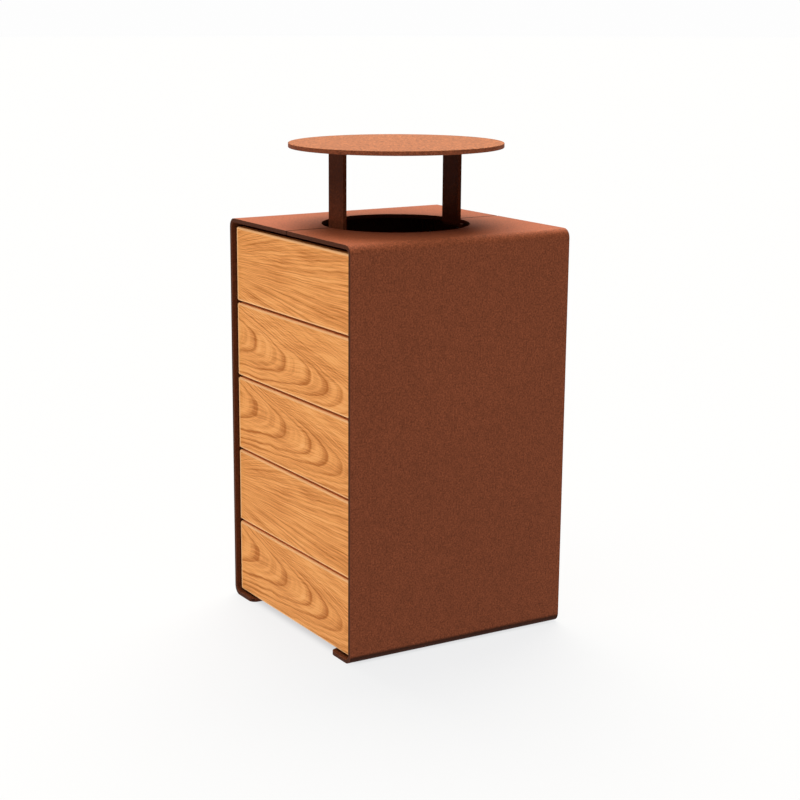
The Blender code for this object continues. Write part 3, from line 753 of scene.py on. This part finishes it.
def rings(bm, outlines):
    """Skins a stack of closed outlines of as many points each, and caps both ends."""
    rows = [[bm.verts.new(p) for p in outline] for outline in outlines]
    skin(bm, rows, rows[1:])
    for row in (rows[0], rows[-1]):
        bm.faces.new(row)


def outline(place, radius, height, steps=48):
    """A closed outline round local Z. Radius and height are numbers or functions of the angle."""
    points = []
    for k in range(steps):
        angle = math.tau * k / steps
        r = radius(angle) if callable(radius) else radius
        h = height(angle) if callable(height) else height
        points.append(place @ Vector((r * math.cos(angle), r * math.sin(angle), h)))
    return points


def hexagon(across):
    """The radius of a hexagon at an angle, from its width across the flats."""

    def radius(angle):
        return across / 2 / math.cos((angle + math.pi / 6) % (math.pi / 3) - math.pi / 6)

    return radius


def hex_head(bm, base, axis, height, across):
    """A bolt head on base: a washer face, six flats, a turned chamfer and a dished end."""
    place = axis_place(base, axis)
    corner = hexagon(across)
    face, face_height = across / 2 * 0.92, 0.0004
    crown, dish = across / 2 * 0.93, 0.0004

    def chamfer(angle):
        return height - (corner(angle) - crown) * 0.55

    rings(
        bm,
        [
            outline(place, face, 0.0),
            outline(place, face, face_height),
            outline(place, corner, face_height),
            outline(place, corner, chamfer),
            outline(place, crown, height),
            outline(place, crown * 0.72, height),
            outline(place, crown * 0.60, height - dish),
        ],
    )


def washer(bm, base, axis, thickness, radius, bore):
    place = axis_place(base, axis)
    lip = 0.0002
    profile = [(bore, 0), (radius - lip, 0), (radius, lip), (radius, thickness - lip)]
    profile += [(radius - lip, thickness), (bore, thickness)]
    rows = [[bm.verts.new(p) for p in outline(place, r, h)] for r, h in profile]
    skin(bm, rows, rows[1:] + rows[:1])


def threaded(bm, base, axis, length, radius):
    """A shank with raised rings for its thread."""
    pitch, core = 0.00125, radius * 0.86
    points = [(core, 0.0)]
    for k in range(int(length / pitch)):
        points += [(core, (k + 0.25) * pitch), (radius, (k + 0.6) * pitch)]
    points.append((radius * 0.80, length))
    place = axis_place(base, axis)
    rings(bm, [outline(place, r, h, 24) for r, h in points])


BOLT = dict(across=0.013, head=0.0043, washer=0.0012, radius=0.0040, washer_radius=0.0080)
BOLT_SEAT = 0.0055  # from the head's end to what the washer sits on


def bolt_piece(node, up):
    """A hexagon bolt with its washer. It points up, or down."""
    low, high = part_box(node)
    centre = (low + high) / 2
    bm = bmesh.new()
    axis = -Z if up else Z
    seat = low.z + BOLT_SEAT if up else high.z - BOLT_SEAT
    base = Vector((centre.x, centre.y, seat))
    washer(bm, base, axis, BOLT["washer"], BOLT["washer_radius"], BOLT["radius"] + 0.0002)
    hex_head(bm, base + axis * BOLT["washer"], axis, BOLT["head"], BOLT["across"])
    length = (high.z - seat if up else seat - low.z) + BOLT["washer"] - 0.0002
    threaded(bm, base + axis * (BOLT["washer"] + 0.0003), -axis, length, BOLT["radius"] - 0.0001)
    stand_for(to_object(bm, node.replace("bolt", "hex_bolt"), [ZINC]), node)


def screw_head(bm, base, axis):
    """A pan head with a six-lobed recess, which stands on base."""
    place = axis_place(base, axis)
    radius, height = 0.0045, 0.0027
    crown, shoulder = 0.0026, 0.0010

    def lobes(angle):
        return 0.00185 + 0.00035 * math.cos(6 * angle)

    points = [(radius * 0.94, 0.0), (radius, 0.0003), (radius, shoulder)]
    for k in range(1, 5):
        a = math.pi / 2 * k / 5
        r = crown + (radius - crown) * math.cos(a)
        points.append((r, shoulder + (height - shoulder) * math.sin(a)))
    points += [(0.0025, height), (lobes, height - 0.0001), (lobes, height - 0.0016)]
    rings(bm, [outline(place, r, h) for r, h in points])


SCREW_SPREAD = 0.040
SCREW_LEVELS = []
for row in range(BOARDS):
    low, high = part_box(f"front_board_{row + 1}")
    SCREW_LEVELS += [(low.z + high.z) / 2 + offset for offset in (-SCREW_SPREAD, SCREW_SPREAD)]


def screws(name, x, face, axis, body):
    """Two screws for each board, on one upright bar."""
    bm = bmesh.new()
    for level in SCREW_LEVELS:
        screw_head(bm, Vector((x, face, level)), axis)
    piece = to_object(bm, name, [ZINC])
    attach(piece, body)


def without_heads(bm, x, face, direction):
    """Takes off the simple heads that stand out of this face, and closes it."""
    lowest, highest, reach = 0.0004, 0.0040, 0.0055

    def on_head(co):
        near = min(abs(co.z - level) for level in SCREW_LEVELS)
        out = (co.y - face) * direction
        return lowest < out < highest and math.hypot(co.x - x, near) < reach

    bmesh.ops.delete(bm, geom=[v for v in bm.verts if on_head(v.co)], context="VERTS")
    bmesh.ops.holes_fill(bm, edges=[e for e in bm.edges if e.is_boundary])
    rejoin_flats(bm)


def bar_piece(node, name, x, face, direction):
    bm = solid_of(node)
    without_heads(bm, x, face, direction)
    bevel(bm, 0.0005, 2, EDGE)
    stand_for(to_object(bm, name, STEEL_SET), node)


# The bars' plates, and how far in from a bar's edge its screws are.
STILE_PLATE, STILE_SCREWS = 0.004, 0.030
UPRIGHT_PLATE, UPRIGHT_SCREWS = 0.005, 0.010
for side, hand in ((-1, "left"), (1, "right")):
    low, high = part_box(f"front_stile_{hand}")
    face = low.y + STILE_PLATE
    middle_x = (high.x if side > 0 else low.x) - side * STILE_SCREWS
    bar_piece(f"front_stile_{hand}", f"angle_{hand}", middle_x, face, 1)
    screws(f"screws_front_{hand}", middle_x, face, Y, "frame")
for side, hand in ((1, "hinge"), (-1, "lock")):
    node = f"door_stile_{hand}"
    low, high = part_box(node)
    face = high.y - UPRIGHT_PLATE
    middle_x = (low.x if side > 0 else high.x) + side * UPRIGHT_SCREWS
    bar_piece(node, f"door_upright_{hand}", middle_x, face, -1)
    screws(f"screws_door_{hand}", middle_x, face, -Y, "door")

for node in sorted(BODY_OF):
    if "_bolt_" in node:
        bolt_piece(node, not node.startswith("base"))


for where in ("top", "bottom"):
    node = f"door_bumper_{where}"
    low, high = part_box(node)
    centre, radius, tall = (low + high) / 2, (high.x - low.x) / 2, high.y - low.y
    profile = [(radius * 0.96, 0.0), (radius, 0.0004), (radius, tall * 0.30)]
    profile += [(radius * 0.90, tall * 0.36), (radius * 0.88, tall * 0.50)]
    for k in range(1, 6):
        a = math.pi / 2 * k / 6
        profile.append((radius * (0.38 + 0.50 * math.cos(a)), tall * (0.50 + 0.50 * math.sin(a))))
    profile += [(radius * 0.34, tall), (radius * 0.16, tall * 0.90)]
    place = axis_place(Vector((centre.x, low.y, centre.z)), Y)
    bm = bmesh.new()
    rings(bm, [outline(place, r, h, 64) for r, h in profile])
    stand_for(to_object(bm, f"bumper_{where}", [RUBBER]), node)


# ---------------------------------------------------------------- welds


BEAD_RADIUS, GUIDE_BEAD_RADIUS = 0.0022, 0.0018
BEAD_PITCH = 0.0028
BEAD_OUT = 0.0002  # how far a bead's middle stands off the faces it joins
STITCHES = 5
STITCH_STEP, STITCH_LENGTH = 0.165, 0.03


def bead(bm, start, end, radius):
    """A weld bead: overlapping scales along a line."""
    run = end - start
    count = max(6, int(run.length / BEAD_PITCH * 4))
    place = axis_place(start, run.normalized())
    stack = []
    for k in range(count + 1):
        t = k / count
        phase = (t * run.length / BEAD_PITCH) % 1.0
        taper = min(1.0, 6 * t + 0.35, 6 * (1 - t) + 0.35)
        scale = 0.84 + 0.16 * math.sin(math.pi * phase)
        stack.append(outline(place, radius * taper * scale, t * run.length, 12))
    rings(bm, stack)


def beads(name, lines, radius=BEAD_RADIUS):
    bm = bmesh.new()
    for start, end in lines:
        bead(bm, Vector(start), Vector(end), radius)
    piece = to_object(bm, name, [COAT])
    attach(piece, "frame")


def upright_stitches(x, y, lowest):
    """Short welds above each other."""
    levels = [lowest + k * STITCH_STEP for k in range(STITCHES)]
    return [((x, y, z), (x, y, z + STITCH_LENGTH)) for z in levels]


HEAD_LENGTH, HEAD_INSET = 0.026, 0.004
for side, end in ((-1, "front"), (1, "rear")):
    low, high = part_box(f"cover_leg_{end}")
    tip = high.y if side < 0 else low.y
    z = high.z - 0.0006
    sides = (low.x - 0.0004, high.x + 0.0004)
    lines = [((x, tip + side * HEAD_LENGTH, z), (x, tip, z)) for x in sides]
    y = tip - side * 0.0004
    lines.append(((low.x + HEAD_INSET, y, z), (high.x - HEAD_INSET, y, z)))
    beads(f"weld_leg_{end}", lines)

WALL = 0.0080  # the shells' plate
stitches = []
for hand, side in (("left", -1), ("right", 1)):
    low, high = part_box(f"front_stile_{hand}")
    wall = side * (CAD_BOX[1][0] - WALL)
    stitches += upright_stitches(wall - side * BEAD_OUT, high.y + 0.0003, low.z + 0.06)
beads("weld_stiles", stitches)

low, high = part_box("door_stop_bar")
beads("weld_stop_bar", upright_stitches(low.x + 0.0004, low.y - 0.0003, low.z + 0.05))

GUIDE_STITCH = 0.022
stitches = []
for name in ("liner_guide_left", "liner_guide_right", "liner_stop"):
    low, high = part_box(name)
    z = low.z + BEAD_OUT
    for share in (0.1, 0.45, 0.8):
        if high.x - low.x > high.y - low.y:
            x, y = low.x + share * (high.x - low.x), low.y - BEAD_OUT
            stitches.append(((x, y, z), (x + GUIDE_STITCH, y, z)))
        else:
            x = low.x - BEAD_OUT if low.x < 0 else high.x + BEAD_OUT
            y = low.y + share * (high.y - low.y)
            stitches.append(((x, y, z), (x, y + GUIDE_STITCH, z)))
beads("weld_guides", stitches, radius=GUIDE_BEAD_RADIUS)


# ---------------------------------------------------------------- lock, hinge, liner, bars

# node, piece, materials, slot and the rounding of its edges
PLAIN = (
    ("lock_housing", "lock_rim", [ZINC], "door_hardware", 0.0003),
    ("lock_nut", "lock_back_nut", [ZINC], "door_hardware", 0.0005),
    ("lock_plug", "lock_cylinder", [ZINC], "door_hardware", 0.0002),
    ("lock_cam", "lock_tongue", [ZINC], "door_hardware", 0.0004),
    ("lock_cam_screw", "lock_tongue_screw", [ZINC], "zinc_fasteners", 0.0004),
    ("hinge_pin_top", "pin_upper", [ZINC], "door_hardware", 0.0004),
    ("hinge_pin_bottom", "pin_lower", [ZINC], "door_hardware", 0.0003),
    ("pivot_shoe_top", "shoe_upper", [ZINC], "door_hardware", 0.0004),
    ("pivot_shoe_bottom", "shoe_lower", [ZINC], "door_hardware", 0.0004),
    ("liner", "liner_tub", [LINER], "liner_coating", 0.0005),
    ("liner_rim", "liner_collar", [LINER], "liner_coating", 0.0008),
    ("liner_handle_left", "bail_left", [ZINC], "handle_wire", 0.0004),
    ("liner_handle_right", "bail_right", [ZINC], "handle_wire", 0.0004),
    ("base_plate", "bottom_plate", STEEL_SET, "frame_coating", 0.0005),
    ("liner_guide_left", "guide_left", STEEL_SET, "frame_coating", 0.0005),
    ("liner_guide_right", "guide_right", STEEL_SET, "frame_coating", 0.0005),
    ("liner_stop", "guide_front", STEEL_SET, "frame_coating", 0.0005),
    ("door_stop_bar", "stop_bar", STEEL_SET, "frame_coating", 0.0005),
    ("door_rail_top", "rail_upper", STEEL_SET, "frame_coating", 0.0005),
    ("door_rail_middle", "rail_centre", STEEL_SET, "frame_coating", 0.0005),
    ("door_rail_bottom", "rail_lower", STEEL_SET, "frame_coating", 0.0005),
)
for node, name, looks, slot, width in PLAIN:
    detailed(node, name, looks, width)
for hand in ("left", "right"):
    for end in ("front", "rear"):
        name = f"lug_{hand}_{end}"
        detailed(f"handle_{name}", name, [ZINC], 0.0004)


# ---------------------------------------------------------------- floor, light, camera

bm = bmesh.new()
bmesh.ops.create_circle(bm, cap_ends=True, segments=96, radius=60.0)
floor = to_object(bm, "floor", [pale_floor("pale_floor")])


def sun(name, azimuth, elevation, energy, size, colour):
    """A far, soft light. Its azimuth is where it comes from, in degrees from +X towards +Y."""
    light = bpy.data.lights.new(name, "SUN")
    light.energy, light.color = energy, colour
    light.angle = math.radians(size)
    obj = bpy.data.objects.new(name, light)
    a, e = math.radians(azimuth), math.radians(elevation)
    toward = Vector((math.cos(a) * math.cos(e), math.sin(a) * math.cos(e), math.sin(e)))
    obj.rotation_euler = toward.to_track_quat("Z", "Y").to_euler()
    SCENE.collection.objects.link(obj)
    return obj


def lights_only(light, name, boards):
    """Limits a light to the boards, or to everything but the boards."""
    group = bpy.data.collections.new(name)
    for obj in SCENE.objects:
        if obj.type == "MESH" and ("oak_board" in obj.name) == boards:
            group.objects.link(obj)
    light.light_linking.receiver_collection = group


WHITE, WARM = (1, 1, 1), (1.0, 0.96, 0.86)

# name, azimuth, elevation, energy, size, colour, and whether it lights the boards or the rest
LIGHTS = (
    ("key", 150, 56, 6.2, 48, WARM, False),
    ("rear", 150, 50, 3.4, 36, WHITE, True),
    ("top", 285, 76, 2.2, 56, WARM, False),
    ("front", 264, 32, 1.48, 30, WHITE, True),
)
for name, azimuth, elevation, energy, size, colour, boards in LIGHTS:
    light = sun(name, azimuth, elevation, energy, size, colour)
    lights_only(light, f"lit_by_{name}", boards)

# The world's strength as light, and as the backdrop that only camera rays see.
WORLD_LIGHT, WORLD_SEEN = 0.10, 0.985
world = bpy.data.worlds.new("studio")
SCENE.world = world
world.use_nodes = True
tree = world.node_tree
back = tree.nodes["Background"]
back.inputs["Color"].default_value = (1, 1, 1, 1)
path = tree.nodes.new("ShaderNodeLightPath")
pick = tree.nodes.new("ShaderNodeMapRange")
pick.inputs[3].default_value = WORLD_LIGHT
pick.inputs[4].default_value = WORLD_SEEN
tree.links.new(path.outputs["Is Camera Ray"], pick.inputs[0])
tree.links.new(pick.outputs[0], back.inputs["Strength"])
SCENE.view_settings.view_transform = "Standard"

# The camera was solved from the photograph's edges.
CAMERA_AT = (2.988, -1.837, 1.258)
CAMERA_DOWN, CAMERA_TURN = 13.548, 60.162
lens = bpy.data.cameras.new("camera")
lens.lens = 78.06
lens.sensor_width = 36.0
lens.shift_x = 0.0716
lens.shift_y = 0.0229
lens.clip_end = 300.0
camera = bpy.data.objects.new("camera", lens)
camera.location = CAMERA_AT
camera.rotation_euler = (math.radians(90 - CAMERA_DOWN), 0, math.radians(CAMERA_TURN))
SCENE.collection.objects.link(camera)
SCENE.camera = camera
